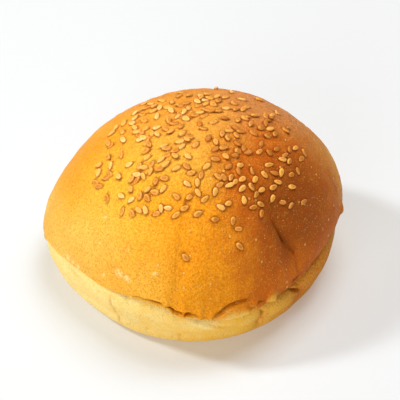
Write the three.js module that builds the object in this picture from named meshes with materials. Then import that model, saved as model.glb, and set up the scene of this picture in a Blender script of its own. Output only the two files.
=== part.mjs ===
import * as THREE from "three";

// A round soft roll: a domed crust that stands proud of a paler band at its foot, with sesame seeds on top.
// Millimetres, +Z up. The roll stands on its flat underside at z = 0, centred on the origin.
// The lobe where the crust reaches furthest faces -Y, so -Y is called its front. Azimuths are in degrees from +X.

// The roll as a whole.
const crustRadius = 56; // mean half-width at the lip, where the crust ends
const domeHeight = 45.1; // lip to crown
const seamHeight = 22.6; // the lip's mean height above the surface it stands on
const footShare = 0.918; // the half-width above the rounded foot, as a share of the lip's
const footHeight = 8; // height of the rounded foot
const footInset = 7.2; // how far the foot curves in to the flat underside
const crownLean = { x: 2.9, y: 2 }; // how far the crown stands off the middle of the lip

// The crust's section: exponents of 1 would be a true ellipse.
const domeWidthPower = 0.91;
const domeHeightPower = 1.22;
const lipRadius = 1.8; // the crust's rolled lower edge
const lipTurn = 110; // how far round the lip rolls, in degrees
const lipSquash = 0.9; // its depth against its height
const lipOverhang = 1.5; // step from under the lip in to the band
const bandBulge = 1.2; // how far the band swells between lip and foot

// A baked roll is never truly round. Each wave has a number of crests, a size, and the azimuth of one crest.
// The crust's sizes are shares of its half-width, and the seam's are in millimetres.
const crustWaves = [
  { crests: 2, size: 0.013, azimuth: 32 },
  { crests: 3, size: 0.043, azimuth: 37 },
  { crests: 4, size: 0.02, azimuth: -2 },
];
const seamWaves = [
  { crests: 1, size: 3.9, azimuth: -17 },
  { crests: 2, size: 2.8, azimuth: 69 },
  { crests: 3, size: 3.3, azimuth: -5 },
];
// The lip hangs lower over the front lobe.
const seamSag = { azimuth: -80, halfWidth: 26, size: 2.9 };
// Where the foot swells out or draws in against the crust above it.
const footSwells = [
  { azimuth: -158, halfWidth: 60, size: 0.037 },
  { azimuth: -88, halfWidth: 42, size: -0.041 },
  { azimuth: -30, halfWidth: 40, size: 0.022 },
];

// Hollows between the lobes of the crust. Each runs from a low end by the lip to a high end, given as shares of
// the dome's height, and drifts from one azimuth to another on its way up.
const valleys = [
  { lowAzimuth: -42, highAzimuth: -54, low: 0.04, high: 0.78, halfWidth: 9, depth: 2.2 },
  { lowAzimuth: -97, highAzimuth: -93, low: 0.1, high: 0.74, halfWidth: 7, depth: 0.5 },
];

// Fineness of the meshes.
const roundSegments = 84;
const domeRings = 17;
const lipRings = 3;
const bandRings = 5;
const footRings = 4;

// The seeds.
const seedCount = 59;
const seedLength = 3.2;
const seedWidth = 2.3;
const seedThickness = 0.9;
const seedTaper = 0.4; // how fast it narrows towards its pointed end
const seedRound = 8; // facets round a seed
const seedRings = 6;
const seedClearance = 0.3; // air between a seed and the crust
const seedSpacing = 4.6; // least distance between the middles of two seeds
const seedColor = "#e8c07c";
const seedShades = 0.12; // how much the seeds differ in lightness
const cap = { x: 2, y: -6, radius: 36 }; // the seeded cap, seen from above
const capCrowding = 0.56; // 0.5 spreads the seeds evenly over the cap, and more gathers them to its middle
const randomStart = 2027;

const degrees = THREE.MathUtils.degToRad;
const clamp = THREE.MathUtils.clamp;
const mix = THREE.MathUtils.lerp;

function waveSum(waves, azimuth) {
  const height = (wave) => wave.size * Math.cos(wave.crests * (azimuth - degrees(wave.azimuth)));
  return waves.reduce((sum, wave) => sum + height(wave), 0);
}

// A smooth bump round the roll: 1 at its middle and 0 from its half-width away. The last two are in degrees.
function bump(azimuth, middle, halfWidth) {
  const turn = azimuth - degrees(middle);
  const offset = Math.atan2(Math.sin(turn), Math.cos(turn)) / degrees(halfWidth);
  return Math.abs(offset) >= 1 ? 0 : 0.5 + 0.5 * Math.cos(Math.PI * offset);
}

function footSwell(azimuth) {
  const size = (swell) => swell.size * bump(azimuth, swell.azimuth, swell.halfWidth);
  return footSwells.reduce((sum, swell) => sum + size(swell), 0);
}

// How far the lip stands above its mean height.
function seamRise(azimuth) {
  return waveSum(seamWaves, azimuth) - seamSag.size * bump(azimuth, seamSag.azimuth, seamSag.halfWidth);
}

// How deep the valleys are at a point of the dome.
function valleyDepth(azimuth, rise) {
  let depth = 0;
  for (const valley of valleys) {
    const along = (rise - valley.low) / (valley.high - valley.low);
    if (along <= 0 || along >= 1) {
      continue;
    }
    const middle = mix(valley.lowAzimuth, valley.highAzimuth, along);
    depth += valley.depth * bump(azimuth, middle, valley.halfWidth) * Math.sin(Math.PI * along);
  }
  return depth;
}

// Takes a point of the even, turned roll to its place on the real, uneven one.
function settle(radius, azimuth, height) {
  const seam = seamHeight + seamRise(azimuth);
  const crown = seamHeight + domeHeight;
  if (height > seamHeight) {
    const rise = (height - seamHeight) / domeHeight;
    const inward = valleyDepth(azimuth, rise);
    const reach = radius * (1 + waveSum(crustWaves, azimuth)) - inward * Math.sqrt(1 - rise * rise);
    return new THREE.Vector3(
      reach * Math.cos(azimuth) + crownLean.x * rise,
      reach * Math.sin(azimuth) + crownLean.y * rise,
      mix(seam, crown, rise) - inward * rise,
    );
  }
  const climb = clamp((height - footHeight) / (seamHeight - footHeight), 0, 1);
  const swell = 1 + footSwell(azimuth) / footShare * (1 - climb);
  const reach = radius * (1 + waveSum(crustWaves, azimuth)) * swell;
  return new THREE.Vector3(
    reach * Math.cos(azimuth),
    reach * Math.sin(azimuth),
    height + (seam - seamHeight) * climb,
  );
}

// The dome's section: angle 0 is the lip and 90 degrees is the crown.
function domeRadius(angle) {
  return crustRadius * Math.max(Math.cos(angle), 0) ** domeWidthPower;
}

function domeLevel(angle) {
  return seamHeight + domeHeight * Math.sin(angle) ** domeHeightPower;
}

// The roll's outline from the middle of the underside, out and up to the crown.
function outline() {
  const footRadius = crustRadius * footShare;
  const points = [new THREE.Vector2(0, 0)];
  for (let ring = 0; ring <= footRings; ring += 1) {
    const angle = degrees(90) * (1 - ring / footRings);
    points.push(new THREE.Vector2(
      footRadius - footInset * (1 - Math.cos(angle)),
      footHeight * (1 - Math.sin(angle)),
    ));
  }
  const lipEnd = degrees(lipTurn);
  const lipFoot = seamHeight - lipRadius * Math.sin(lipEnd);
  const bandTop = crustRadius - lipOverhang - lipRadius;
  for (let ring = 1; ring < bandRings; ring += 1) {
    const share = ring / bandRings;
    points.push(new THREE.Vector2(
      mix(footRadius, bandTop, share) + bandBulge * Math.sin(Math.PI * share),
      mix(footHeight, lipFoot, share),
    ));
  }
  for (let ring = lipRings; ring > 0; ring -= 1) {
    const angle = lipEnd * ring / lipRings;
    points.push(new THREE.Vector2(
      crustRadius - lipSquash * lipRadius * (1 - Math.cos(angle)),
      seamHeight - lipRadius * Math.sin(angle),
    ));
  }
  for (let ring = 0; ring < domeRings; ring += 1) {
    const angle = degrees(90) * ring / domeRings;
    points.push(new THREE.Vector2(domeRadius(angle), domeLevel(angle)));
  }
  points.push(new THREE.Vector2(0, seamHeight + domeHeight));
  return points;
}

// The roll: the outline turned about its axis, then pushed out of true.
function makeBun() {
  const geometry = new THREE.LatheGeometry(outline(), roundSegments);
  geometry.rotateX(degrees(90));
  const position = geometry.getAttribute("position");
  for (let i = 0; i < position.count; i += 1) {
    const radius = Math.hypot(position.getX(i), position.getY(i));
    const azimuth = Math.atan2(position.getY(i), position.getX(i));
    const place = settle(radius, azimuth, position.getZ(i));
    position.setXYZ(i, place.x, place.y, place.z);
  }
  geometry.computeVertexNormals();
  const material = new THREE.MeshStandardMaterial({ color: "#e09a45", roughness: 0.55, metalness: 0 });
  const bun = new THREE.Mesh(geometry, material);
  bun.name = "bun";
  return bun;
}

// A seed: a flat drop, round at one end and pointed at the other. Its length is along X, its thickness along Z.
function makeSeedGeometry() {
  const geometry = new THREE.SphereGeometry(0.5, seedRound, seedRings);
  geometry.rotateZ(degrees(90));
  const position = geometry.getAttribute("position");
  for (let i = 0; i < position.count; i += 1) {
    const along = position.getX(i);
    const narrow = 1 - seedTaper * along;
    position.setXYZ(
      i,
      along * seedLength,
      position.getY(i) * seedWidth * narrow,
      position.getZ(i) * seedThickness * narrow,
    );
  }
  geometry.computeVertexNormals();
  return geometry;
}

// Random numbers from 0 to 1 that are the same on every run.
function makeRandom(start) {
  const modulus = 2147483647;
  const multiplier = 16807;
  let state = start;
  return () => {
    state = (state * multiplier) % modulus;
    return state / modulus;
  };
}

// The point of the crust above a place on the plan, found by halving the stretch of the dome that it lies on.
function crustPoint(x, y) {
  const steps = 40;
  let low = 0;
  let high = degrees(90);
  let point = null;
  for (let step = 0; step < steps; step += 1) {
    const angle = (low + high) / 2;
    const rise = (domeLevel(angle) - seamHeight) / domeHeight;
    const middle = new THREE.Vector2(crownLean.x, crownLean.y).multiplyScalar(rise);
    const wanted = new THREE.Vector2(x, y).sub(middle);
    point = settle(domeRadius(angle), wanted.angle(), domeLevel(angle));
    if (new THREE.Vector2(point.x, point.y).sub(middle).length() > wanted.length()) {
      low = angle;
    } else {
      high = angle;
    }
  }
  return point;
}

// The crust's outward direction at a place on the plan, from the slope over about a seed's width.
function crustNormal(x, y) {
  const step = seedWidth / 2;
  const eastward = crustPoint(x + step, y).sub(crustPoint(x - step, y));
  const northward = crustPoint(x, y + step).sub(crustPoint(x, y - step));
  return eastward.cross(northward).normalize();
}

// Places on the plan where the seeds lie, none closer to another than the spacing.
function scatterSeeds(random) {
  const places = [];
  while (places.length < seedCount) {
    const azimuth = random() * 2 * Math.PI;
    const reach = cap.radius * random() ** capCrowding;
    const place = new THREE.Vector2(cap.x + reach * Math.cos(azimuth), cap.y + reach * Math.sin(azimuth));
    if (places.every((other) => other.distanceTo(place) > seedSpacing)) {
      places.push(place);
    }
  }
  return places;
}

function makeSeeds() {
  const random = makeRandom(randomStart);
  const geometry = makeSeedGeometry();
  const seeds = new THREE.Group();
  scatterSeeds(random).forEach((place, index) => {
    const up = crustNormal(place.x, place.y);
    const heading = random() * 2 * Math.PI;
    const level = new THREE.Vector3(Math.cos(heading), Math.sin(heading), 0);
    const across = up.clone().cross(level).normalize();
    const along = across.clone().cross(up);
    const color = new THREE.Color(seedColor).offsetHSL(0, 0, (random() - 0.5) * seedShades);
    const material = new THREE.MeshStandardMaterial({ color, roughness: 0.45, metalness: 0 });
    const seed = new THREE.Mesh(geometry, material);
    seed.name = "sesame_seed_" + String(index + 1).padStart(2, "0");
    seed.quaternion.setFromRotationMatrix(new THREE.Matrix4().makeBasis(along, across, up));
    seed.position.copy(crustPoint(place.x, place.y)).addScaledVector(up, seedClearance + seedThickness / 2);
    seeds.add(seed);
  });
  return seeds;
}

const roll = new THREE.Group();
const bun = makeBun();
roll.add(bun, makeSeeds());

// The roll's plan is centred on the origin.
const extent = new THREE.Box3().setFromObject(bun);
const middle = extent.getCenter(new THREE.Vector3());
roll.position.set(-middle.x, -middle.y, 0);

const part = new THREE.Group();
part.add(roll);

export default part;
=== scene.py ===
from math import pi, radians

import bmesh
import bpy
import numpy as np
from mathutils import Matrix, Vector, noise
from mathutils.bvhtree import BVHTree


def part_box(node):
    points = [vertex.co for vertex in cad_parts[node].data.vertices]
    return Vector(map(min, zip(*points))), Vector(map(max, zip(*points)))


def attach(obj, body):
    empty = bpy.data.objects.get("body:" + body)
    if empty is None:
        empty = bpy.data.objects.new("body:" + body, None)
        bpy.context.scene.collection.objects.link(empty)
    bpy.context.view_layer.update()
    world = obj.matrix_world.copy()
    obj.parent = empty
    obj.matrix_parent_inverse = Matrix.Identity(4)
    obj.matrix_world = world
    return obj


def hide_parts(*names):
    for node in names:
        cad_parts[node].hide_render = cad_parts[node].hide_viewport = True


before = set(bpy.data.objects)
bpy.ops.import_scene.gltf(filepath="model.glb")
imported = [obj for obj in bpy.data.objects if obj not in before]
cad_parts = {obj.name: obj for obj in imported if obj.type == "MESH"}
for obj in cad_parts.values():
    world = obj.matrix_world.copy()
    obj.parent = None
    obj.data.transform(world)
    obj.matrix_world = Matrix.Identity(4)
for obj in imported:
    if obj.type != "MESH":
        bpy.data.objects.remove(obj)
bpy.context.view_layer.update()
rng = np.random.default_rng(41)
mm = 0.001

# The roll, in millimetres. Azimuths are in degrees from +X, and -90 is the front. A station is a place
# along the outline: 0 to 1 is the underside, then come the foot, the band, the gap and the lip, and
# 5 to 6 is the dome. A rise is a share of the dome's height.
roll = {
    "crustRadius": 56.0,
    "domeHeight": 45.1,
    "seamHeight": 22.6,
    "footRadius": 51.4,
    "footHeight": 8.0,
    "footInset": 7.2,
    "bandBulge": 1.5,
    "shoulder": 1.1,  # how far the top of the band rounds in
    "shoulderStart": 0.75,  # from this share of the band's height
    "notchPower": 0.7,
    "crownLean": (2.9, 2.0),
    "domeWidthPower": 0.91,
    "domeHeightPower": 1.22,
    # Crests round the roll, their share of the radius, and one crest's azimuth.
    "crustWaves": ((2, 0.013, 32), (3, 0.043, 37), (4, 0.02, -2)),
    "seamWaves": ((1, 3.9, -17), (2, 2.8, 69), (3, 3.3, -5)),  # the same, but in millimetres
    "seamSag": (-80, 26, 2.9),  # azimuth, half-width, drop
    # Azimuth, half-width, and the lift of the lip alone, which fades out up the dome and down the band.
    "seamSlides": ((-176, 36, 4.2), (-126, 26, -3.3)),
    "slideFades": (0.6, 0.2),
    # Azimuth, half-width, share of the radius.
    "footSwells": ((-158, 60, 0.037), (-88, 42, -0.041), (-30, 40, 0.022)),
    "valleys": (  # azimuths and rises of both ends, half-width, depth
        (-42, -54, 0.04, 0.78, 9, 2.2),
        (-97, -93, 0.10, 0.74, 9, 0.3),
    ),
    "steps": 600,
    "frontCrowding": 0.35,  # how much finer the mesh is at the front
    "rings": (5, 12, 24, 14, 14, 90),  # underside, foot, band, gap, lip, dome
    "bandCrowding": 1.15,  # over 1, the rings draw together at the lip
    "domeCrowding": 1.25,
}

# The lip by azimuth: size of the rolled edge, how far in the band starts, and the height and depth
# of the gap under it.
lipTable = (
    (-175, 1.6, 2.6, 0.8, 1.2), (-150, 1.0, 1.5, 0.5, 0.6), (-130, 0.8, 1.1, 0.5, 0.5),
    (-112, 1.1, 1.3, 0.9, 1.0), (-100, 1.4, 1.5, 1.3, 1.6), (-95, 1.6, 1.8, 1.8, 2.4),
    (-86, 1.8, 2.0, 2.0, 2.6), (-77, 1.9, 2.0, 1.5, 1.6), (-64, 2.0, 1.9, 2.0, 2.4),
    (-56, 2.1, 1.9, 2.8, 3.6), (-45, 2.0, 2.2, 3.4, 4.5), (-36, 2.4, 2.2, 2.8, 3.6),
    (-20, 2.6, 2.2, 2.0, 2.6), (0, 2.2, 2.6, 1.6, 2.2), (45, 1.8, 2.2, 1.4, 1.8),
    (100, 2.0, 2.2, 1.5, 2.0), (150, 1.6, 2.2, 1.0, 1.6),
)
lipTurn = radians(115)  # how far round the edge is rolled
lipSquash = 0.9  # its reach inwards against its height


def addObject(name, data):
    made = bpy.data.objects.new(name, data)
    bpy.context.collection.objects.link(made)
    return made


def asMesh(shape, name):
    mesh = bpy.data.meshes.new(name)
    shape.to_mesh(mesh)
    shape.free()
    return mesh


def waveSum(waves, azimuth):
    return sum(size * np.cos(crests * (azimuth - radians(start))) for crests, size, start in waves)


def bump(azimuth, middle, halfWidth):  # 1 at its middle, 0 from its half-width away
    turn = azimuth - np.radians(middle)
    offset = np.abs(np.arctan2(np.sin(turn), np.cos(turn))) / radians(halfWidth)
    return 0.5 + 0.5 * np.cos(pi * np.minimum(offset, 1))


def smoothStep(low, high, value):
    share = np.clip((value - low) / (high - low), 0, 1)
    return share * share * (3 - 2 * share)


def hill(value, middle, width):  # 1 at its middle, and it falls away smoothly
    return np.exp(-(((value - middle) / width) ** 2))


def lipColumn(column, azimuth):  # one column of the lip table, smoothed between its rows
    table = np.array(lipTable)
    grid = np.arange(-180.0, 180.0, 0.5)
    rough = np.interp(grid, table[:, 0], table[:, column], period=360)
    halfWindow = 6
    window = np.hanning(2 * halfWindow + 1)
    padded = np.concatenate([rough[-halfWindow:], rough, rough[:halfWindow]])
    smooth = np.convolve(padded, window / window.sum(), "valid")
    return np.interp(np.degrees(azimuth), grid, smooth, period=360)


lipMarks = {
    # Azimuth where the edge drops, the span over which it recovers, and the drop.
    "steps": ((-98, 9, 0.9), (24, 16, 0.8), (78, 12, 1.0), (141, 15, 0.7)),
    "stepWidth": 0.7,
    "stepLevel": 1.5,  # how long the edge stays down before it recovers
    # Flakes: azimuth, half-width, reach.
    "points": (
        (-3, 4, 1.1), (-59, 3.5, 2.0), (-170, 6, 0.8), (57, 5, 0.7), (118, 6, 0.6),
        (-120, 2.5, 0.6), (-113, 2.2, 0.7), (-107.5, 1.8, 0.6), (-100, 2.4, 0.9), (-93.5, 2.0, 1.0),
        (-87.5, 2.2, 1.2), (-83.5, 1.6, 0.9), (-67, 2.0, 0.9),
    ),
    "pointPower": 1.5,
    "pointEdge": (4.95, 0.12),  # station and width of what the flakes move
    "scallops": ((3.5, 0.42), (9.0, 0.34), (24.0, 0.3), (42.0, 0.16)),  # frequency, size
    "scallopEdge": (4.75, 0.45),
}


def ringNoise(azimuth, frequency, layer):  # smooth noise that closes on itself round the roll
    spots = zip(np.cos(azimuth) * frequency, np.sin(azimuth) * frequency)
    return np.array([noise.noise((x, y, layer)) for x, y in spots])


def seamOffset(azimuth):  # height of the lip over its mean height
    middle, halfWidth, drop = roll["seamSag"]
    height = waveSum(roll["seamWaves"], azimuth) - drop * bump(azimuth, middle, halfWidth)
    sharp, level = lipMarks["stepWidth"], lipMarks["stepLevel"]
    for start, span, size in lipMarks["steps"]:
        beyond = (np.degrees(azimuth) - start + 180) % 360 - 180
        height = height - size * smoothStep(-sharp, sharp, beyond) * (1 - smoothStep(level, span, beyond))
    return height


def sectionAt(station, azimuth):  # radius and height of the even roll's outline
    footRadius, footHeight = roll["footRadius"], roll["footHeight"]
    radius, seam = roll["crustRadius"], roll["seamHeight"]
    edge, inset, gapHeight, gapDepth = (lipColumn(column, azimuth) for column in (1, 2, 3, 4))
    edgeRadius = radius - lipSquash * edge * (1 - np.cos(lipTurn))
    edgeHeight = seam - edge * np.sin(lipTurn)
    bandTop = radius - inset
    bandTopHeight = edgeHeight - gapHeight

    def share(stretch):
        return np.clip(station - stretch, 0, 1)

    footAngle = pi / 2 * (1 - share(1))
    lipAngle = lipTurn * (1 - share(4))
    domeAngle = pi / 2 * share(5)
    notch = np.sin(pi * share(3)) ** roll["notchPower"]
    shoulderStart = roll["shoulderStart"]
    shoulder = np.clip((share(2) - shoulderStart) / (1 - shoulderStart), 0, 1)
    places = {
        0: (share(0) * (footRadius - roll["footInset"]), 0 * azimuth),
        1: (
            footRadius - roll["footInset"] * (1 - np.cos(footAngle)),
            footHeight * (1 - np.sin(footAngle)),
        ),
        2: (
            footRadius + (bandTop - footRadius) * share(2) + roll["bandBulge"] * np.sin(pi * share(2))
            - roll["shoulder"] * (1 - np.sqrt(1 - shoulder * shoulder)),
            footHeight + (bandTopHeight - footHeight) * share(2),
        ),
        3: (
            bandTop - roll["shoulder"] + (edgeRadius - bandTop + roll["shoulder"]) * share(3)
            - gapDepth * notch,
            bandTopHeight + gapHeight * share(3),
        ),
        4: (
            radius - lipSquash * edge * (1 - np.cos(lipAngle)),
            seam - edge * np.sin(lipAngle),
        ),
        5: (
            radius * np.maximum(np.cos(domeAngle), 0) ** roll["domeWidthPower"],
            seam + roll["domeHeight"] * np.sin(domeAngle) ** roll["domeHeightPower"],
        ),
    }
    stretch = np.clip(np.floor(station), 0, 5)
    reach = sum(np.where(stretch == number, spot[0], 0) for number, spot in places.items())
    height = sum(np.where(stretch == number, spot[1], 0) for number, spot in places.items())
    return reach, height


def valleyDepth(azimuth, rise):
    depth = 0 * rise
    for lowAzimuth, highAzimuth, low, high, halfWidth, size in roll["valleys"]:
        along = np.clip((rise - low) / (high - low), 0, 1)
        middle = lowAzimuth + (highAzimuth - lowAzimuth) * along
        depth = depth + size * bump(azimuth, middle, halfWidth) * np.sin(pi * along)
    return depth


def place(azimuth, station):  # the uneven roll's surface, in millimetres
    azimuth, station = np.broadcast_arrays(np.asarray(azimuth, float), np.asarray(station, float))
    radius, height = sectionAt(station, azimuth)
    seam = roll["seamHeight"] + seamOffset(azimuth)
    rise = np.clip((height - roll["seamHeight"]) / roll["domeHeight"], 0, 1)
    climb = np.clip((height - roll["footHeight"]) / (roll["seamHeight"] - roll["footHeight"]), 0, 1)
    swells = sum(size * bump(azimuth, middle, width) for middle, width, size in roll["footSwells"])
    footScale = 1 + swells * roll["crustRadius"] / roll["footRadius"] * (1 - climb)
    inward = valleyDepth(azimuth, rise)
    onDome = station >= 5
    reach = radius * (1 + waveSum(roll["crustWaves"], azimuth))
    reach = np.where(onDome, reach - inward * np.sqrt(1 - rise * rise), reach * footScale)
    crown = roll["seamHeight"] + roll["domeHeight"]
    domeLevel = seam + (crown - seam) * rise - inward * rise
    bodyLevel = height + (seam - roll["seamHeight"]) * climb
    slide = sum(lift * bump(azimuth, middle, width) for middle, width, lift in roll["seamSlides"])
    upFade, downFade = roll["slideFades"]
    domeLevel = domeLevel + slide * (1 - smoothStep(0.0, upFade, rise))
    bodyLevel = bodyLevel + slide * smoothStep(downFade, 1.0, climb)
    leanX, leanY = roll["crownLean"]
    return np.stack([
        reach * np.cos(azimuth) + np.where(onDome, leanX * rise, 0),
        reach * np.sin(azimuth) + np.where(onDome, leanY * rise, 0),
        np.where(onDome, domeLevel, bodyLevel),
    ], -1)


def domeStation(rise):  # station of a share of the dome's height
    return 5 + np.arcsin(np.asarray(rise, float) ** (1 / roll["domeHeightPower"])) / (pi / 2)


def outlineStations():  # where the rings lie, closest together round the lip
    stations = []
    for stretch, count in enumerate(roll["rings"]):
        share = np.arange(count) / count
        if stretch == 5:
            share = share ** roll["domeCrowding"]
        if stretch == 2:
            share = 1 - (1 - share) ** roll["bandCrowding"]
        stations.extend(stretch + share)
    return stations + [6.0]


def turnRoll():  # the outline spun round, each corner keeping its station
    shape = bmesh.new()
    stationLayer = shape.verts.layers.float.new("station")
    corners = []
    for station in outlineStations():
        radius, height = sectionAt(np.array([station]), np.array([0.0]))
        corner = shape.verts.new((radius[0], 0, height[0]))
        corner[stationLayer] = station
        corners.append(corner)
    for low, high in zip(corners, corners[1:]):
        shape.edges.new((low, high))
    bmesh.ops.spin(
        shape, geom=shape.verts[:] + shape.edges[:], cent=(0, 0, 0), axis=(0, 0, 1),
        angle=2 * pi, steps=roll["steps"], use_merge=True,
    )
    bmesh.ops.remove_doubles(shape, verts=shape.verts, dist=1e-4)
    bmesh.ops.recalc_face_normals(shape, faces=shape.faces)
    return asMesh(shape, "bread_roll")


# Creases, cracks, pits and swells. A path is a row of azimuths and stations.
marks = {
    "creases": (  # path, half-width, depth, height of its shoulders
        (((-51.5, 5.41), (-50, 5.35), (-48.3, 5.29), (-47, 5.255)), 1.0, 0.85, 0.35),
        (((-49.5, 5.31), (-46.5, 5.24), (-44.5, 5.18)), 3.0, 0.7, 0.2),
        (((-45.2, 5.22), (-44, 5.19), (-43.2, 5.155)), 0.7, 0.8, 0.15),
        (((-43.5, 5.15), (-43.5, 5.09), (-44.5, 5.03)), 1.6, 0.35, 0.1),
        (((-83, 5.02), (-81, 5.055), (-77.5, 5.10), (-73.5, 5.112), (-69.5, 5.105)), 1.0, 1.9, 0.5),
        (((-98, 5.03), (-95, 4.98), (-92, 5.02), (-89, 4.96)), 0.8, 1.1, 0.4),
        (((-71, 5.06), (-68, 5.03), (-65.5, 5.05), (-62, 5.01)), 0.8, 0.7, 0.2),
        (((-94.5, 5.44), (-95.5, 5.28), (-96.5, 5.17), (-97.5, 5.06)), 2.6, 0.04, 0.1),
        (
            (
                (-112, 4.97), (-110.5, 5.0), (-108.5, 4.95), (-106, 4.99), (-103, 4.97), (-101, 5.01),
                (-99.5, 4.96), (-96, 4.97), (-94, 5.02), (-92, 4.96), (-88, 4.98), (-85, 4.94),
            ), 0.9, 1.0, 0.3,
        ),
        (((-47.5, 5.01), (-45.5, 4.90), (-43, 5.02)), 1.4, 0.9, 0.2),
    ),
    "cracks": (  # the same, for the band
        (((-124, 2.9), (-124.8, 2.5), (-123.5, 2.2), (-123, 1.9), (-122, 1.6)), 0.65, 0.8, 0.1),
        (((-95.5, 2.05), (-96, 1.8), (-95.5, 1.5)), 0.8, 0.5, 0.1),
        (((-63, 2.9), (-61.8, 2.6), (-62.3, 2.3), (-61.3, 1.75)), 0.8, 1.6, 0.3),
        (((-63, 2.9), (-62, 2.4), (-61.3, 1.6)), 4.5, 0.7, 0.25),
        (((-46.5, 2.99), (-44, 2.8), (-41, 2.6), (-39, 2.38)), 0.9, 1.7, 0.3),
        (((-46, 2.98), (-42, 2.6), (-38, 2.2), (-37, 1.7)), 5.0, 0.9, 0.3),
        (((-85, 2.85), (-79, 2.62), (-73, 2.5)), 1.0, 0.35, 0.12),
        (((-88, 2.60), (-82, 2.40), (-77, 2.30)), 1.0, 0.25, 0.1),
        (((-152, 2.90), (-146, 2.75), (-141, 2.72)), 0.9, 0.3, 0.1),
        (((8, 2.95), (10, 2.5), (9, 1.8)), 4.0, 0.6, 0.2),
        (((8, 2.95), (10, 2.5), (9.5, 2.0)), 0.8, 0.8, 0.2),
        (((71, 2.95), (69, 2.5), (70, 1.8)), 4.5, 0.6, 0.2),
        (((71, 2.95), (69.5, 2.6), (69, 2.1)), 0.8, 0.9, 0.2),
        (((133, 2.95), (135, 2.5), (134, 1.8)), 4.5, 0.7, 0.2),
        (((133, 2.95), (134.5, 2.6), (135, 2.2)), 0.8, 0.9, 0.2),
    ),
    "crackShade": 0.8,  # the painted shade in the pale band's cracks is weaker than in the crust's creases
    # Width of a groove, then place and width of its banks, all in half-widths.
    "profile": (0.55, 1.35, 0.6),
    "pits": (  # azimuth, station, radius, depth
        (-131, 2.73, 0.9, 0.7), (-134, 2.86, 0.6, 0.4), (-88.5, 2.9, 1.1, 0.8),
        (-146, 2.55, 0.6, 0.3), (-107, 2.5, 0.5, 0.25), (-70, 2.75, 0.6, 0.3),
        (-30, 2.6, 0.7, 0.4),
    ),
    "swells": (  # azimuth, station, their half-widths, height
        (-75, 5.03, 7, 0.05, 1.2), (-90, 2.86, 3, 0.1, 0.7), (-84.5, 2.72, 3, 0.12, 0.6),
        (-79, 2.56, 4, 0.1, 0.5), (-87, 2.45, 3, 0.08, 0.4), (-52, 2.55, 8, 0.4, 0.9),
        (-28, 2.55, 10, 0.4, 0.9), (-90, 2.4, 14, 0.45, 0.4), (40, 2.5, 18, 0.45, 0.6),
        (100, 2.5, 20, 0.45, 0.6),
    ),
    "flecks": (  # pale spots on the crust: azimuth, rise, radius
        (-121, 0.165, 1.2), (-119.2, 0.16, 0.9), (-116.5, 0.15, 1.1), (-115, 0.14, 0.8),
        (-150, 0.03, 1.2), (-146.5, 0.02, 1.0), (-143, 0.01, 0.9), (-137, 0.47, 0.8),
        (-118.5, 0.35, 0.6), (-128, 0.09, 0.7), (-134, 0.3, 0.6), (-105, 0.25, 0.6),
        (150, 0.2, 1.0), (146, 0.19, 0.8), (70, 0.3, 0.9),
    ),
    # Drawn at random between limits. The cracks all lie on the right and at the back.
    "loneCracks": {
        "count": 16,
        "azimuth": (-5, 185),
        "station": (2.45, 2.95),
        "turn": (-2.2, 2.2),
        "fall": (0.12, 0.32),
        "halfWidth": (0.6, 1.0),
        "depth": (0.2, 0.4),
        "shoulder": 0.08,
    },
    "lonePits": {"count": 46, "station": (1.7, 2.95), "radius": (0.35, 0.8), "depth": (0.1, 0.4)},
    "blisters": {"count": 260, "rise": (0.02, 0.75), "radius": (0.4, 1.1), "size": (0.05, 0.13)},
}


def drawnPath(path):  # a line of points on the surface through a path's corners
    corners = np.array(path, float)
    steps = np.linspace(0, len(corners) - 1, 8 * len(corners))
    return place(
        np.radians(np.interp(steps, range(len(corners)), corners[:, 0])),
        np.interp(steps, range(len(corners)), corners[:, 1]),
    )


def nearPath(points, line):  # distance to a line, and how far along it that is
    ahead = line[1:] - line[:-1]
    nearest = np.full(len(points), 1e9)
    along = np.zeros(len(points))
    for number, (start, step) in enumerate(zip(line[:-1], ahead)):
        share = np.clip((points - start) @ step / (step @ step), 0, 1)
        distance = np.linalg.norm(points - start - share[:, None] * step, axis=1)
        closer = distance < nearest
        nearest[closer] = distance[closer]
        along[closer] = (number + share[closer]) / len(ahead)
    return nearest, along


def carve(points, lift, shade, path, halfWidth, depth, shoulder):
    line = drawnPath(path)
    reach = 3 * halfWidth
    near = np.all((points > line.min(0) - reach) & (points < line.max(0) + reach), axis=1)
    if not near.any():
        return
    distance, along = nearPath(points[near], line)
    taper = np.sin(pi * np.clip(along, 0.03, 0.97)) ** 0.5  # grooves run out at their ends
    grooveWidth, bankPlace, bankWidth = np.array(marks["profile"]) * halfWidth
    groove = hill(distance, 0, grooveWidth) * taper
    banks = hill(distance, bankPlace, bankWidth) * taper
    lift[near] += shoulder * banks - depth * groove
    # painted shade along the groove, darker where it is deeper
    shade[near] = np.maximum(shade[near], groove * min(1.0, depth))


def readValues(entries, name, width=1, kind=float):
    values = np.empty(len(entries) * width, kind)
    entries.foreach_get(name, values)
    return values.reshape(-1, width) if width > 1 else values


def shapeRoll(mesh):
    points = readValues(mesh.vertices, "co", 3)
    station = readValues(mesh.attributes["station"].data, "value")
    turn = np.arctan2(points[:, 1], points[:, 0])
    azimuth = turn + roll["frontCrowding"] * np.cos(turn)  # draws the steps together at the front
    points = place(azimuth, station)
    low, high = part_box("bun")
    shift = np.array(((low + high) / 2)[:2]) / mm - (points[:, :2].max(0) + points[:, :2].min(0)) / 2
    scallop = sum(size * ringNoise(azimuth, rate, 3.7 * rate) for rate, size in lipMarks["scallops"])
    points[:, 2] += scallop * hill(station, *lipMarks["scallopEdge"])
    for middle, halfWidth, reach in lipMarks["points"]:
        push = reach * bump(azimuth, middle, halfWidth) ** lipMarks["pointPower"]
        push = push * hill(station, *lipMarks["pointEdge"])
        points[:, 0] += push * np.cos(azimuth)
        points[:, 1] += push * np.sin(azimuth)
    return points, azimuth, station, shift


def setPoints(mesh, points):
    mesh.vertices.foreach_set("co", (points * mm).astype(np.float32).ravel())
    mesh.update()


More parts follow.
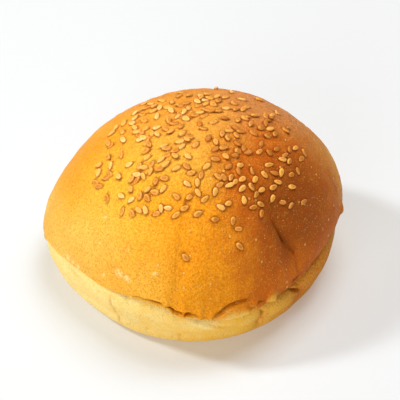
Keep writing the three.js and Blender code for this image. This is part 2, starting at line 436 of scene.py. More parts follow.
def roughen(points, frequency, layer, stretch=1.0):  # smooth noise over the surface, from -1 to 1
    offset = Vector((layer, -layer, 0.5 * layer))
    scale = Vector((frequency, frequency, frequency * stretch))
    return np.array([noise.noise(Vector(point) * scale + offset) for point in points])


def layered(points, layers):
    return sum(height * roughen(points, *values) for *values, height in layers)


def carveAll(points, lift, shade):
    for crack in marks["cracks"]:
        carve(points, lift, shade, *crack)
    shade *= marks["crackShade"]
    for paintedShade in marks["creases"]:
        carve(points, lift, shade, *paintedShade)
    lone = marks["loneCracks"]
    for _ in range(lone["count"]):
        azimuth, station = rng.uniform(*lone["azimuth"]), rng.uniform(*lone["station"])
        path = [(azimuth, station)]
        for _ in range(3):
            azimuth += rng.uniform(*lone["turn"])
            station -= rng.uniform(*lone["fall"])
            path.append((azimuth, station))
        halfWidth, depth = rng.uniform(*lone["halfWidth"]), rng.uniform(*lone["depth"])
        carve(points, lift, shade, path, halfWidth, depth, lone["shoulder"])


def pressPits(points, lift, shade):
    pits = list(marks["pits"])
    lone = marks["lonePits"]
    for _ in range(lone["count"]):
        middle = (rng.uniform(-180, 180), rng.uniform(*lone["station"]))
        pits.append((*middle, rng.uniform(*lone["radius"]), rng.uniform(*lone["depth"])))
    for azimuth, station, radius, depth in pits:
        distance = np.linalg.norm(points - place(radians(azimuth), station), axis=1)
        hollow = hill(distance, 0, 0.7 * radius)
        lift -= depth * hollow
        # painted shade in the pit
        np.maximum(shade, 0.5 * hollow * min(1.0, depth), out=shade)


def raiseBlisters(points, lift):
    blisters = marks["blisters"]
    for _ in range(blisters["count"]):
        middle = place(rng.uniform(-pi, pi), 5 + rng.uniform(*blisters["rise"]))
        radius, size = rng.uniform(*blisters["radius"]), rng.uniform(*blisters["size"])
        near = np.abs(points[:, 0] - middle[0]) < 3 * radius
        near[near] = np.linalg.norm(points[near] - middle, axis=1) < 3 * radius
        lift[near] += size * hill(np.linalg.norm(points[near] - middle, axis=1), 0, radius)


# The uneven surface between the marks, in millimetres.
relief = {
    "domeStart": (4.9, 5.1),  # stations over which a part's relief comes in or ends
    "bandStart": (1.3, 2.0),
    "bandEnd": (2.95, 3.1),
    "floorFade": (0.6, 4.0),  # height over the floor at which relief comes in
    "dome": ((0.045, 3, 1.0, 0.6), (0.16, 11, 1.0, 0.24)),  # frequency, layer, upward stretch, height
    "band": ((0.09, 23, 0.6, 0.28), (0.3, 29, 0.5, 0.06)),
    "grain": (0.34, 17),  # frequency, layer
    "grainHeights": (0.07, 0.16),  # near the lip, and what the upper dome adds to it
    "grainRise": (5.3, 5.6),
    "pucker": (34, 5.0),  # wrinkles across the lip: frequency, layer
    "puckerHeight": 0.16,
    "puckerEdge": (5.03, 0.05),
    "dimples": (0.11, 37),  # hollows in the underside
    "dimpleHeight": 0.5,
    "dimpleEnd": (0.85, 1.0),
}


def sculptRoll(mesh, points, azimuth, station):
    onDome = smoothStep(*relief["domeStart"], station)
    onBand = smoothStep(*relief["bandStart"], station) * (1 - smoothStep(*relief["bandEnd"], station))
    offFloor = smoothStep(*relief["floorFade"], points[:, 2])
    lift = np.zeros(len(points))
    shade = np.zeros(len(points))
    carveAll(points, lift, shade)
    pressPits(points, lift, shade)
    raiseBlisters(points, lift)
    for middle, level, width, tall, height in marks["swells"]:
        lift += height * bump(azimuth, middle, 2 * width) * hill(station, level, tall)
    pucker = ringNoise(azimuth, *relief["pucker"]) * hill(station, *relief["puckerEdge"])
    lift += relief["puckerHeight"] * pucker
    lift += onDome * layered(points, relief["dome"])
    lowGrain, highGrain = relief["grainHeights"]
    grainHeight = lowGrain + highGrain * smoothStep(*relief["grainRise"], station)
    lift += onDome * grainHeight * roughen(points, *relief["grain"])
    lift += onBand * layered(points, relief["band"])
    lift *= offFloor
    points = points + readValues(mesh.vertices, "normal", 3) * lift[:, None]
    dimple = np.maximum(roughen(points, *relief["dimples"]), 0)
    dimple = dimple * (1 - smoothStep(*relief["dimpleEnd"], station))
    points[:, 2] = np.maximum(points[:, 2], 0) + relief["dimpleHeight"] * dimple
    return points, shade


def addMask(mesh, name, values):
    attribute = mesh.attributes.new(name, "FLOAT", "POINT")
    attribute.data.foreach_set("value", values.astype(np.float32))


# The roll's own map: two discs side by side, the crust from its crown outwards and the rest from below.
rollMap = {
    "radius": 0.285,
    "centres": (0.295, 0.705),  # of the crust's disc and of the other
    "lip": 3.99,  # the crust's disc starts at this station
    "domeSpan": 80,  # lengths of outline, in millimetres
    "lipSpan": 6,
    "bodySpans": (0, 44, 56, 69, 75),  # from the middle of the underside to stations 0 to 4
}


def mapRoll(mesh, azimuth, station):
    corners = readValues(mesh.loops, "vertex_index", kind=int)
    starts = readValues(mesh.polygons, "loop_start", kind=int)
    counts = readValues(mesh.polygons, "loop_total", kind=int)
    along, turn = station[corners], azimuth[corners]
    upper = np.repeat(np.minimum.reduceat(along, starts) > rollMap["lip"], counts)
    domeSpan, lipSpan, bodySpans = rollMap["domeSpan"], rollMap["lipSpan"], rollMap["bodySpans"]
    fromCrown = domeSpan * (6 - np.maximum(along, 5)) + lipSpan * (5 - np.minimum(along, 5))
    fromFloor = np.interp(along, range(len(bodySpans)), bodySpans)
    share = np.where(upper, fromCrown / (domeSpan + lipSpan), fromFloor / bodySpans[-1])
    reach = rollMap["radius"] * share
    centre = np.where(upper, *rollMap["centres"])
    spots = np.stack([centre + reach * np.cos(turn), centre + reach * np.sin(turn)], -1)
    mapLayer = mesh.uv_layers.new(name="OFBake")
    mapLayer.data.foreach_set("uv", spots.astype(np.float32).ravel())


def fleckShade(points):
    shade = np.zeros(len(points))
    for azimuth, rise, radius in marks["flecks"]:
        distance = np.linalg.norm(points - place(radians(azimuth), domeStation(rise)), axis=1)
        shade = np.maximum(shade, np.exp(-((distance / radius) ** 4)))
    return shade


# What the crust's material reads, by the stations over which it comes in or ends.
skinMasks = {
    "crust": (4.2, 4.95),
    "gapStart": (3.0, 3.3),
    "gapEnd": (3.8, 4.3),
    "floorEnd": (0.7, 1.4),
    "paleLip": ((-75, 16, 0.95), (-59, 6, 1.0), (-3, 7, 0.8)),  # azimuth, half-width, strength; partly paler dough and partly a painted highlight on the lip's tips
    "paleEdge": (4.97, 0.09),
    "paleGap": (-148, 45, 0.75),  # where the gap is closed, and so its painted shade is weaker
}


def maskRoll(mesh, azimuth, station, shade):
    # paler places on the lip, partly a painted highlight on its tips
    pale = sum(strength * bump(azimuth, *where) for *where, strength in skinMasks["paleLip"])
    pale = pale * hill(station, *skinMasks["paleEdge"])
    addMask(mesh, "crust", smoothStep(*skinMasks["crust"], station) - pale)
    # the painted shade of the creases, cracks and pits
    addMask(mesh, "paintedShade", shade)
    # painted shade in the gap under the lip
    *where, strength = skinMasks["paleGap"]
    gapShade = (1 - strength * bump(azimuth, *where)) * smoothStep(*skinMasks["gapStart"], station)
    addMask(mesh, "gap", gapShade * (1 - smoothStep(*skinMasks["gapEnd"], station)))
    addMask(mesh, "floorSide", 1 - smoothStep(*skinMasks["floorEnd"], station))
    addMask(mesh, "rise", np.clip(station - 5, 0, 1))


def makeRoll():
    mesh = turnRoll()
    points, azimuth, station, shift = shapeRoll(mesh)
    setPoints(mesh, points)
    sculpted, shade = sculptRoll(mesh, points, azimuth, station)
    addMask(mesh, "flecks", fleckShade(sculpted))
    sculpted[:, :2] += shift
    setPoints(mesh, sculpted)
    maskRoll(mesh, azimuth, station, shade)
    mapRoll(mesh, azimuth, station)
    mesh.shade_smooth()
    return addObject("bread_roll", mesh), shift


breadRoll, planShift = makeRoll()
print("roll shaped:", len(breadRoll.data.polygons), "faces")

# The seeds, in millimetres. The solid model holds some of them, and the rest are scattered between.
seeds = {
    "length": 3.3,
    "width": 1.85,
    "thickness": 1.15,
    "taper": 0.45,
    "segments": 12,
    "layers": 6,
    "flatness": 2.4,  # over 1, the sides are flatter than a ball's
    "dent": 0.66,  # height of the middle against the rim
    "rim": (0.12, 0.4),  # where the rim starts and is full, on a ball of radius 0.5
    "stand": 0.28,  # how far the middle of a seed stands above the crust
    "tilt": 0.18,
    "sizes": ((0.9, 1.1), (0.88, 1.08), (0.85, 1.15)),
    "shadedSide": (-15, 90, 0.6),  # azimuth, half-width, how much darker the seeds are there, a painted shade
    "solidStands": (-0.1, 0.15),  # what is added to a seed's stand, at random
    "looseStands": (-0.12, 0.2),
    "looseCount": 178,
    "cap": (2, -9, 37.5, 31),  # the seeded cap's middle on the plan, and its half-widths
    "capPower": 0.55,  # under 0.5, the seeds gather at its edge
    "spacing": 2.35,
    "bareFrequency": 70,  # where this noise is low, the seeds lie further apart
    "bareBelow": -0.05,
    "bareSpacing": 1.7,
    "touching": (0.22, 0.66),  # share of the seeds that may touch, and their spacing
    "buried": 0.12,  # share of the loose seeds, with all the strays
    "buriedStand": -0.3,
    "buriedTone": 0.15,
    "strays": (  # azimuth and rise of the seeds away from the others
        (-94.5, 0.43), (-72, 0.49), (-71.5, 0.59), (-73.5, 0.64), (-110.5, 0.63),
        (-8, 0.68), (-13.5, 0.68), (-43, 0.59), (-38.5, 0.53), (-30, 0.48),
    ),
    "mapCells": 14,  # the scatter's map has this many cells each way
    "seedShadowEnd": 1.6,  # where the painted shadow round a seed ends, in its half-sizes
}


def seedMesh():  # a flat drop, pointed at +X, with a raised rim
    shape = bmesh.new()
    bmesh.ops.create_uvsphere(shape, u_segments=seeds["segments"], v_segments=seeds["layers"], radius=0.5)
    bmesh.ops.recalc_face_normals(shape, faces=shape.faces)
    halfThickness = 0.5 * seeds["thickness"]
    rimLayer = shape.verts.layers.float.new("rim")
    mapLayer = shape.loops.layers.uv.new("OFBake")
    for face in shape.faces:  # the two sides are mapped next to each other
        below = face.calc_center_median().z < 0
        for corner in face.loops:
            spot = corner.vert.co
            corner[mapLayer].uv = (0.25 + 0.46 * spot.x + 0.5 * below, 0.5 + 0.9 * spot.y)
    for corner in shape.verts:
        along, across, level = corner.co
        narrow = 1 - seeds["taper"] * along
        flat = np.sign(level) * min(1.0, abs(level) * seeds["flatness"])
        fromMiddle = np.hypot(along, across)
        corner[rimLayer] = smoothStep(*seeds["rim"], fromMiddle)
        if fromMiddle < 0.1:
            flat *= seeds["dent"]
        elif fromMiddle < 0.3:
            flat *= 0.5 + 0.5 * seeds["dent"]
        corner.co = (
            along * seeds["length"] * mm,
            across * seeds["width"] * narrow * mm,
            flat * halfThickness * narrow * mm,
        )
    return asMesh(shape, "sesame_shape")


def seedPlace(surface, spot, up, heading, stand):  # a seed's matrix on the crust under or over a spot
    hit, normal, _, _ = surface.ray_cast(spot + 6 * mm * up, -up)
    if hit is None:
        hit, normal, _, _ = surface.find_nearest(spot)
    normal = (normal + Vector(rng.normal(0, seeds["tilt"], 3))).normalized()
    across = normal.cross(heading).normalized()
    along = across.cross(normal)
    size = [rng.uniform(*limits) for limits in seeds["sizes"]]
    turn = Matrix((along, across, normal)).transposed().to_4x4()
    return Matrix.Translation(hit + stand * mm * normal) @ turn @ Matrix.Diagonal((*size, 1))


def seedAxes(node):  # middle, axis to the point, and flat side of a solid seed
    points = np.array([corner.co for corner in node.data.vertices])
    middle = points.mean(0)
    _, _, axes = np.linalg.svd(points - middle, full_matrices=False)
    along, across, up = axes
    reach = (points - middle) @ along
    spread = np.abs((points - middle) @ across)
    if spread[reach > 0].max() > spread[reach < 0].max():
        along = -along
    if up[2] < 0:
        up = -up
    return Vector(middle), Vector(along), Vector(up)


def seedTone(spot):  # 1 is the palest, and the seeds on the right are darker, a painted shade
    *where, strength = seeds["shadedSide"]
    return rng.uniform(0, 1) - strength * bump(np.arctan2(spot[1], spot[0]), *where)


def makeSolidSeeds(surface, shape):
    made = []
    for name in sorted(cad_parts):
        if not name.startswith("sesame_seed"):
            continue
        middle, along, up = seedAxes(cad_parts[name])
        mesh = shape.copy()
        mesh.name = name.replace("sesame_seed", "sesame")
        nest = seedPlace(surface, middle, up, along, seeds["stand"] + rng.uniform(*seeds["solidStands"]))
        nests.append(nest)
        mesh.transform(nest)
        addMask(mesh, "tone", np.full(len(mesh.vertices), seedTone(middle)))
        mesh.shade_smooth()
        piece = addObject(mesh.name, mesh)
        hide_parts(name)
        made.append((piece, middle))
    return made


def looseSpots(surface, taken):  # where the rest of the seeds lie
    shiftX, shiftY = planShift
    spots = []
    for azimuth, rise in seeds["strays"]:
        spot = place(radians(azimuth), domeStation(rise)) + (shiftX, shiftY, 0)
        spots.append(Vector(spot) * mm)
    middleX, middleY, halfX, halfY = seeds["cap"]
    taken = [spot.to_2d() for spot in taken + spots]
    touching, closeness = seeds["touching"]
    while len(spots) < seeds["looseCount"]:
        turn, reach = rng.uniform(-pi, pi), rng.uniform(0, 1) ** seeds["capPower"]
        x = (middleX + halfX * reach * np.cos(turn)) * mm
        y = (middleY + halfY * reach * np.sin(turn)) * mm
        crowding = noise.noise((x * seeds["bareFrequency"], y * seeds["bareFrequency"], 4.0))
        spacing = seeds["spacing"] * mm * (1.0 if crowding > seeds["bareBelow"] else seeds["bareSpacing"])
        if rng.uniform(0, 1) < touching:
            spacing *= closeness
        flat = Vector((x, y))
        if all((flat - other).length > spacing for other in taken):
            hit, _, _, _ = surface.ray_cast(Vector((x, y, 0.2)), Vector((0, 0, -1)))
            spots.append(hit)
            taken.append(flat)
    return spots


def makeLooseSeeds(surface, shape, spots):
    pile = bmesh.new()
    mapLayer = pile.loops.layers.uv.new("OFBake")
    toneLayer = pile.verts.layers.float.new("tone")
    rimLayer = pile.verts.layers.float.new("rim")
    rims = [entry.value for entry in shape.attributes["rim"].data]
    cells = seeds["mapCells"]
    for number, spot in enumerate(spots):
        firstCorner, firstFace = len(pile.verts), len(pile.faces)
        pile.from_mesh(shape)
        pile.verts.ensure_lookup_table()
        pile.faces.ensure_lookup_table()
        _, normal, _, _ = surface.find_nearest(spot)
        turn = rng.uniform(-pi, pi)
        heading = Vector((np.cos(turn), np.sin(turn), 0))
        buried = rng.uniform(0, 1) < seeds["buried"] or number < len(seeds["strays"])
        stand = seeds["stand"] + (seeds["buriedStand"] if buried else rng.uniform(*seeds["looseStands"]))
        tone = seedTone(spot)
        fresh = pile.verts[firstCorner:]
        nest = seedPlace(surface, spot, normal, heading, stand)
        nests.append(nest)
        bmesh.ops.transform(pile, matrix=nest, verts=fresh)
        for corner, rim in zip(fresh, rims):
            corner[toneLayer] = seeds["buriedTone"] * tone if buried else tone
            corner[rimLayer] = rim
        column, row = number % cells, number // cells
        for face in pile.faces[firstFace:]:
            for corner in face.loops:
                u, v = corner[mapLayer].uv
                corner[mapLayer].uv = ((column + u) / cells, (row + v) / cells)
    mesh = asMesh(pile, "sesame_scatter")
    mesh.shade_smooth()
    return addObject("sesame_scatter", mesh)


nests = []  # every seed's place, as a matrix
crustSurface = BVHTree.FromObject(breadRoll, bpy.context.evaluated_depsgraph_get())
seedShape = seedMesh()
solidSeeds = makeSolidSeeds(crustSurface, seedShape)
spots = looseSpots(crustSurface, [middle for _, middle in solidSeeds])
scatter = makeLooseSeeds(crustSurface, seedShape, spots)


def shadeRoundSeeds(mesh):  # painted shadow: the crust darkened close round each seed
    points = readValues(mesh.vertices, "co", 3)
    shade = np.zeros(len(points))
    halfSize = np.array((seeds["length"], seeds["width"])) * mm / 2
    nearby = 3 * mm
    for nest in nests:
        near = np.abs(points[:, 0] - nest.translation.x) < nearby
        back = np.array(nest.inverted())
        local = points[near] @ back[:3, :3].T + back[:3, 3]
        reach = np.hypot(local[:, 0] / halfSize[0], local[:, 1] / halfSize[1])
        ring = (1 - smoothStep(1.0, seeds["seedShadowEnd"], reach)) * (np.abs(local[:, 2]) < nearby)
        shade[near] = np.maximum(shade[near], ring)
    addMask(mesh, "paintedSeedShadow", shade)


shadeRoundSeeds(breadRoll.data)
print("seeds placed:", len(nests))


# Colours as red, green and blue from 0 to 255.
finish = {
    "gold": (244, 198, 58),
    "straw": (246, 210, 94),
    "amber": (254, 162, 6),
    "crown": (252, 178, 70),
    # a painted sheen on the upper right of the dome
    "sheen": (216, 140, 80),
    "toast": (208, 99, 11),
    "brown": (135, 61, 3),
    "band": (250, 226, 152),
    "bandWarm": (252, 196, 76),
    # painted shade for the creases, cracks, pits and the gap under the lip
    "paintedShade": (130, 66, 10),
    # pale pinpricks: small blisters, partly painted glints
    "speckGlint": (255, 194, 98),
    "underside": (206, 138, 62),
    "seedPale": (252, 212, 132),
    "seedTan": (240, 170, 72),
    "seedDark": (196, 118, 36),
}


def linear(name):  # a colour of the finish as the shaders take it
    return (*[(value / 255 / 12.92) if value < 10 else ((value / 255 + 0.055) / 1.055) ** 2.4
              for value in finish[name]], 1)


def plug(tree, socket, value):
    if isinstance(value, bpy.types.NodeSocket):
        tree.links.new(value, socket)
    else:
        socket.default_value = value


def blend(tree, share, first, second):  # a mix of two colours, whose sockets go by number
    node = tree.nodes.new("ShaderNodeMix")
    node.data_type = "RGBA"
    for socket, value in ((0, share), (6, first), (7, second)):
        plug(tree, node.inputs[socket], value)
    return node.outputs[2]


def sums(tree, operation, first, second=0.5):
    node = tree.nodes.new("ShaderNodeMath")
    node.operation = operation
    plug(tree, node.inputs[0], first)
    plug(tree, node.inputs[1], second)
    return node.outputs[0]


def ranged(tree, value, low, high, toLow=0.0, toHigh=1.0):
    node = tree.nodes.new("ShaderNodeMapRange")
    node.interpolation_type = "SMOOTHSTEP"
    for socket, number in enumerate((value, low, high, toLow, toHigh)):
        plug(tree, node.inputs[socket], number)
    return node.outputs[0]


def noiseOf(tree, vector, scale, detail=3.0, rough=0.5):
    node = tree.nodes.new("ShaderNodeTexNoise")
    plug(tree, node.inputs["Vector"], vector)
    plug(tree, node.inputs["Scale"], scale)
    node.inputs["Detail"].default_value = detail
    node.inputs["Roughness"].default_value = rough
    return node.outputs["Fac"]


def mask(tree, name):
    node = tree.nodes.new("ShaderNodeAttribute")
    node.attribute_name = name
    return node.outputs["Fac"]


def pinpricks(group, vector, scale, share):  # round dots of mixed sizes, one at most in each cell
    cells = group.nodes.new("ShaderNodeTexVoronoi")
    plug(group, cells.inputs["Vector"], vector)
    plug(group, cells.inputs["Scale"], scale)
    pick = group.nodes.new("ShaderNodeSeparateColor")
    plug(group, pick.inputs[0], cells.outputs["Color"])
    size = ranged(group, pick.outputs[0], 1 - share, 1.0, 0.0, 0.26)
    edge = sums(group, "SUBTRACT", size, cells.outputs["Distance"])
    return ranged(group, edge, -0.03, 0.05)


grainLook = {
    "mottle": (3.2, 3.0, 0.7),  # share of the scale, detail, roughness
    "largeSpecks": 0.45,  # share of the cells that hold one
    "smallSpecks": 1.0,
    "smallScale": 2.3,
    "smallStrength": 0.75,
    "speckHeight": 0.6,
}


def makeGrain():  # mottling and pale pinpricks, for the crust and the seeds
    group = bpy.data.node_groups.new("bakedGrain", "ShaderNodeTree")
    for name, kind in (("Vector", "NodeSocketVector"), ("Scale", "NodeSocketFloat")):
        group.interface.new_socket(name=name, in_out="INPUT", socket_type=kind)
    for name in ("Mottle", "Specks", "Height"):
        group.interface.new_socket(name=name, in_out="OUTPUT", socket_type="NodeSocketFloat")
    entry = group.nodes.new("NodeGroupInput")
    leave = group.nodes.new("NodeGroupOutput")
    vector, scale = entry.outputs["Vector"], entry.outputs["Scale"]
    mottleScale, detail, rough = grainLook["mottle"]
    mottle = noiseOf(group, vector, sums(group, "MULTIPLY", scale, mottleScale), detail, rough)
    large = pinpricks(group, vector, scale, grainLook["largeSpecks"])
    smallScale = sums(group, "MULTIPLY", scale, grainLook["smallScale"])
    small = pinpricks(group, vector, smallScale, grainLook["smallSpecks"])
    specks = sums(group, "MAXIMUM", large, sums(group, "MULTIPLY", small, grainLook["smallStrength"]))
    raised = sums(group, "MULTIPLY", specks, grainLook["speckHeight"])
    plug(group, leave.inputs["Mottle"], mottle)
    plug(group, leave.inputs["Specks"], specks)
    plug(group, leave.inputs["Height"], sums(group, "ADD", mottle, raised))
    return group


def startMaterial(name, grain, scale):
    material = bpy.data.materials.new(name)
    material.use_nodes = True
    tree = material.node_tree
    shader = tree.nodes["Principled BSDF"]
    vector = tree.nodes.new("ShaderNodeTexCoord").outputs["Object"]
    texture = tree.nodes.new("ShaderNodeGroup")
    texture.node_tree = grain
    plug(tree, texture.inputs["Vector"], vector)
    texture.inputs["Scale"].default_value = scale
    return material, tree, shader, vector, texture


def addBump(tree, shader, height, strength, depth):
    node = tree.nodes.new("ShaderNodeBump")
    node.inputs["Strength"].default_value = strength
    node.inputs["Distance"].default_value = depth * mm
    plug(tree, node.inputs["Height"], height)
    plug(tree, shader.inputs["Normal"], node.outputs["Normal"])


# A row of four numbers is a range of a noise or a mask, and the range that it becomes.
crustLook = {
    "grainScale": 430.0,
    "patches": (38.0, 2.0),  # scale, detail and roughness of a noise
    "cloud": (140.0, 4.0, 0.6),
    "field": (70.0, 2.0),
    "warmthPatches": (0.3, 0.7, -0.15, 0.15),
    "toastCloud": (0.3, 0.7, -0.12, 0.12),
    "brownCloud": (0.3, 0.7, -0.08, 0.08),
    "darkMottle": (0.34, 0.62, 0.52, 0.0),
    "paleMottle": (0.5, 0.72, 0.0, 0.4),
    "seedShadowStrength": 0.75,
    "speckField": (0.35, 0.6, 0.6, 1.0),
    "speckStrength": 0.8,
    "fleckMottle": (0.35, 0.6, 0.2, 0.9),
    "bandCloud": (0.3, 0.7, -0.2, 0.2),
    "bandMottle": (0.32, 0.64, 0.6, 0.0),
    "bandSpecks": 0.35,
    "edgeCloud": (0.3, 0.7, -0.15, 0.15),
    "edge": (0.2, 0.8),
    "soleCloud": (0.35, 0.65, 0.0, 0.55),
    "soleMottle": (0.34, 0.64, 0.5, 0.0),
    "gapShadeStrength": 0.9,
    "creaseShadeStrength": 0.75,
    "rough": (0.2, 0.8, 0.75, 0.5),  # from the band to the crust
    "roughMottle": (0.3, 0.7, -0.07, 0.08),
    "specular": 0.1,
    "bump": (1.0, 0.7),  # strength, depth in millimetres
}


def crustMaterial(grain):
    look = crustLook
    material, tree, shader, vector, texture = startMaterial("baked_crust", grain, look["grainScale"])
    patches = noiseOf(tree, vector, *look["patches"])
    cloud = noiseOf(tree, vector, *look["cloud"])
    mottle = texture.outputs["Mottle"]

    def clouded(name, noisy, limits):  # a mask with a noise added to it
        return sums(tree, "ADD", mask(tree, name), ranged(tree, noisy, *look[limits]))

    def strong(value, strength):
        return sums(tree, "MULTIPLY", value, strength)

    def tint(base, share, colour):  # a layer of one colour over what is there
        return blend(tree, share, base, linear(colour))

    warmth = clouded("warmth", patches, "warmthPatches")
    crust = blend(tree, mask(tree, "paleness"), linear("gold"), linear("straw"))
    crust = tint(crust, ranged(tree, warmth, 0.0, 1.0), "amber")
    # painted light on the crown
    crust = tint(crust, mask(tree, "crownLight"), "crown")
    # painted sheen on the upper right
    crust = tint(crust, mask(tree, "paintedSheen"), "sheen")
    # toast on the right, partly real baking and partly painted shade
    toastedAndShaded = clouded("toastAndShade", cloud, "toastCloud")
    crust = tint(crust, ranged(tree, toastedAndShaded, 0.0, 1.0), "toast")
    # brown on the right shoulder, partly real browning and partly painted shade
    brownedAndShaded = clouded("browningAndShade", cloud, "brownCloud")
    crust = tint(crust, ranged(tree, brownedAndShaded, 0.0, 1.0), "brown")
    crust = tint(crust, ranged(tree, mottle, *look["darkMottle"]), "toast")
    crust = tint(crust, ranged(tree, mottle, *look["paleMottle"]), "crown")
    # painted shadow round each seed
    crust = tint(crust, strong(mask(tree, "paintedSeedShadow"), look["seedShadowStrength"]), "brown")
    # pale pinpricks, partly blisters and partly painted glints
    field = ranged(tree, noiseOf(tree, vector, *look["field"]), *look["speckField"])
    specks = strong(texture.outputs["Specks"], field)
    crust = tint(crust, strong(specks, look["speckStrength"]), "speckGlint")
    flecks = strong(mask(tree, "flecks"), ranged(tree, mottle, *look["fleckMottle"]))
    crust = tint(crust, flecks, "band")
    bandWarmth = clouded("bandWarmth", cloud, "bandCloud")
    band = blend(tree, ranged(tree, bandWarmth, 0.0, 1.0), linear("band"), linear("bandWarm"))
    # toast on the band's right, partly real and partly painted shade
    band = tint(band, ranged(tree, mask(tree, "bandToastAndShade"), 0.0, 1.0), "toast")
    band = tint(band, ranged(tree, mottle, *look["bandMottle"]), "bandWarm")
    band = tint(band, strong(specks, look["bandSpecks"]), "band")
    edge = clouded("crust", cloud, "edgeCloud")
    skin = blend(tree, ranged(tree, edge, *look["edge"]), band, crust)
    sole = blend(tree, ranged(tree, cloud, *look["soleCloud"]), linear("underside"), linear("toast"))
    sole = tint(sole, ranged(tree, mottle, *look["soleMottle"]), "bandWarm")
    skin = blend(tree, mask(tree, "floorSide"), skin, sole)
    # painted shade in the gap under the lip
    skin = tint(skin, strong(mask(tree, "gap"), look["gapShadeStrength"]), "paintedShade")
    # painted shade in the creases, cracks and pits
    creaseShadeColour = blend(tree, ranged(tree, edge, *look["edge"]), linear("toast"), linear("paintedShade"))
    skin = blend(tree, strong(mask(tree, "paintedShade"), look["creaseShadeStrength"]), skin, creaseShadeColour)
    plug(tree, shader.inputs["Base Color"], skin)
    rough = ranged(tree, mask(tree, "crust"), *look["rough"])
    rough = sums(tree, "ADD", rough, ranged(tree, mottle, *look["roughMottle"]))
    plug(tree, shader.inputs["Roughness"], rough)
    shader.inputs["Specular IOR Level"].default_value = look["specular"]
    addBump(tree, shader, texture.outputs["Height"], *look["bump"])
    return material


sesameLook = {
    "grainScale": 900.0,
    "toneMottle": (0.3, 0.7, -0.15, 0.15),
    "rimTone": (0.0, 1.0, -0.28, 0.2),
    "tan": (-0.2, 0.5),  # tones over which the hull turns tan, and then pale
    "pale": (0.6, 1.3),
    "rough": 0.5,
    "specular": 0.2,
}


def sesameMaterial(grain):
    look = sesameLook
    material, tree, shader, _, texture = startMaterial("sesame_hull", grain, look["grainScale"])
    mottle = ranged(tree, texture.outputs["Mottle"], *look["toneMottle"])
    tone = sums(tree, "ADD", mask(tree, "tone"), mottle)
    # rim paler and dented middle darker, partly the hull's own colour and partly painted light and shade
    tone = sums(tree, "ADD", tone, ranged(tree, mask(tree, "rim"), *look["rimTone"]))
    hull = blend(tree, ranged(tree, tone, *look["tan"]), linear("seedDark"), linear("seedTan"))
    hull = blend(tree, ranged(tree, tone, *look["pale"]), hull, linear("seedPale"))
    plug(tree, shader.inputs["Base Color"], hull)
    shader.inputs["Roughness"].default_value = look["rough"]
    shader.inputs["Specular IOR Level"].default_value = look["specular"]
    return material


fromLip, toCrown = (-2, -1), (2, 3)  # rises past both ends of the crust, where nothing fades

# A mask starts from a number, and patches are added to it. A patch is azimuth, half-width, gain,
# strength, and the rises over which it comes in and ends. A gain over 1 gives it a flat middle.
paint = {
    "warmth": (0.25, (
        (65, 90, 1.0, 0.55, fromLip, toCrown),
        (-70, 75, 1.0, 0.6, fromLip, (0.4, 0.9)),
        (165, 60, 1.0, 0.5, (0.15, 0.4), toCrown),
    )),
    # the patch at -32 is partly painted shade on the right side
    "toastAndShade": (0.0, (
        (-32, 70, 1.35, 0.85, fromLip, (0.65, 1.0)),
        (110, 80, 1.0, 0.3, fromLip, toCrown),
        (58, 60, 1.0, 0.28, fromLip, (0.5, 0.9)),
    )),
    # partly real browning and partly painted shade on the right-front shoulder
    "browningAndShade": (0.0, (
        (-32, 52, 1.0, 0.9, (-0.05, 0.32), (0.45, 0.74)),
    )),
    # painted sheen
    "paintedSheen": (0.0, (
        (30, 85, 1.0, 0.85, (0.15, 0.6), (0.8, 1.0)),
    )),
    "paleness": (0.0, (
        (-150, 85, 1.0, 1.0, fromLip, (0.15, 0.5)),
    )),
    "bandWarmth": (0.15, (
        (-40, 110, 1.0, 0.85, fromLip, toCrown),
    )),
    # partly painted shade on the band's right side
    "bandToastAndShade": (0.0, (
        (-28, 56, 1.0, 0.7, fromLip, toCrown),
        (30, 80, 1.0, 0.35, fromLip, toCrown),
    )),
}
crownLight = (0.5, 0.95, 0.8)  # rises over which the crown's painted light comes in, and its strength
tornBand = (-85, 13, 12, 16, 0.6)  # azimuth, half-width, heights it comes in over, paleness


def paintPatch(azimuth, rise, middle, halfWidth, gain, strength, start, end):
    level = np.minimum(gain * bump(azimuth, middle, halfWidth), 1)
    return strength * level * smoothStep(*start, rise) * (1 - smoothStep(*end, rise))


def paintRoll(mesh):  # how warm and how brown the crust is, from place to place, with painted shade on its right side
    points = readValues(mesh.vertices, "co", 3) / mm
    rise = readValues(mesh.attributes["rise"].data, "value")  # 0 at the lip and 1 at the crown
    azimuth = np.arctan2(points[:, 1], points[:, 0])
    middle, halfWidth, low, high, paleness = tornBand
    torn = bump(azimuth, middle, halfWidth) * smoothStep(low, high, points[:, 2])
    for name, (start, patches) in paint.items():
        values = sum((paintPatch(azimuth, rise, *patch) for patch in patches), start)
        if name == "bandWarmth":
            values = values - paleness * torn
        addMask(mesh, name, values)
    low, high, strength = crownLight
    addMask(mesh, "crownLight", strength * smoothStep(low, high, rise))


paintRoll(breadRoll.data)
grain = makeGrain()
sesame = sesameMaterial(grain)
breadRoll.data.materials.append(crustMaterial(grain))
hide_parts("bun")
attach(breadRoll, "root")
for piece in [piece for piece, _ in solidSeeds] + [scatter]:
    piece.data.materials.append(sesame)
    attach(piece, "root")
print("materials made")


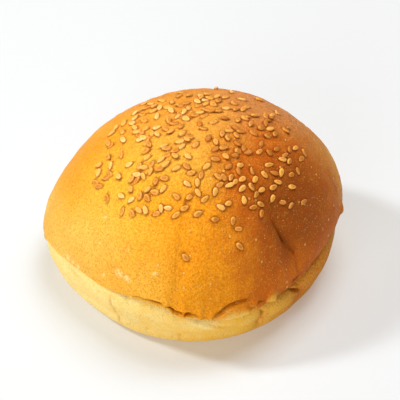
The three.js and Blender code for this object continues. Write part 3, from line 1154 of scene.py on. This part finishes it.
# The camera looks down at the front. Millimetres and degrees.
studio = {
    "target": (2.35, 0.0, 29.85),
    "elevation": 37,
    "distance": 600,
    "lens": 141.4,
    "floorHalf": 1500,
    "floorColour": (0.505, 0.56, 0.60),
    "floorGlow": (0.27, 0.21, 0.16),  # the lit paper, as it looks in the shade of the roll
    "lamps": {  # spot, size, power
        "key": ((-950, 70, 930), 200, 11.0),
        "front": ((-480, -1240, 400), 800, 11.0),
        "back": ((250, 280, 1230), 800, 12.4),
    },
    "fill": 0.12,
}


def addAimed(name, data, location, aim):
    made = addObject(name, data)
    made.location = location
    made.rotation_euler = (aim - made.location).to_track_quat("-Z", "Y").to_euler()
    return made


def addLamp(name, spot, size, power, aim):
    data = bpy.data.lights.new(name, "AREA")
    data.size = size * mm
    data.energy = power
    addAimed(name, data, Vector(spot) * mm, aim)


def addCamera(aim):
    tilt = radians(studio["elevation"])
    data = bpy.data.cameras.new("camera")
    data.lens = studio["lens"]
    location = aim + studio["distance"] * mm * Vector((0, -np.cos(tilt), np.sin(tilt)))
    bpy.context.scene.camera = addAimed("camera", data, location, aim)


def addFill():  # even white light from all round
    world = bpy.data.worlds.new("studio")
    world.use_nodes = True
    sky = world.node_tree.nodes["Background"]
    sky.inputs["Color"].default_value = (1, 1, 1, 1)
    sky.inputs["Strength"].default_value = studio["fill"]
    bpy.context.scene.world = world


def addFloor():
    sheet = bmesh.new()
    bmesh.ops.create_grid(sheet, x_segments=1, y_segments=1, size=studio["floorHalf"] * mm)
    floor = addObject("floor", asMesh(sheet, "floor"))
    paper = bpy.data.materials.new("floor_paper")
    paper.use_nodes = True
    shader = paper.node_tree.nodes["Principled BSDF"]
    shader.inputs["Base Color"].default_value = (*studio["floorColour"], 1)
    shader.inputs["Emission Color"].default_value = (*studio["floorGlow"], 1)
    shader.inputs["Emission Strength"].default_value = 1.0
    shader.inputs["Roughness"].default_value = 0.9
    floor.data.materials.append(paper)


x, y, z = studio["target"]
aim = Vector((x + planShift[0], y + planShift[1], z)) * mm
addCamera(aim)
for name, values in studio["lamps"].items():
    addLamp(name, *values, aim)
addFill()
addFloor()
bpy.context.scene.view_settings.view_transform = "Standard"
print("scene ready")
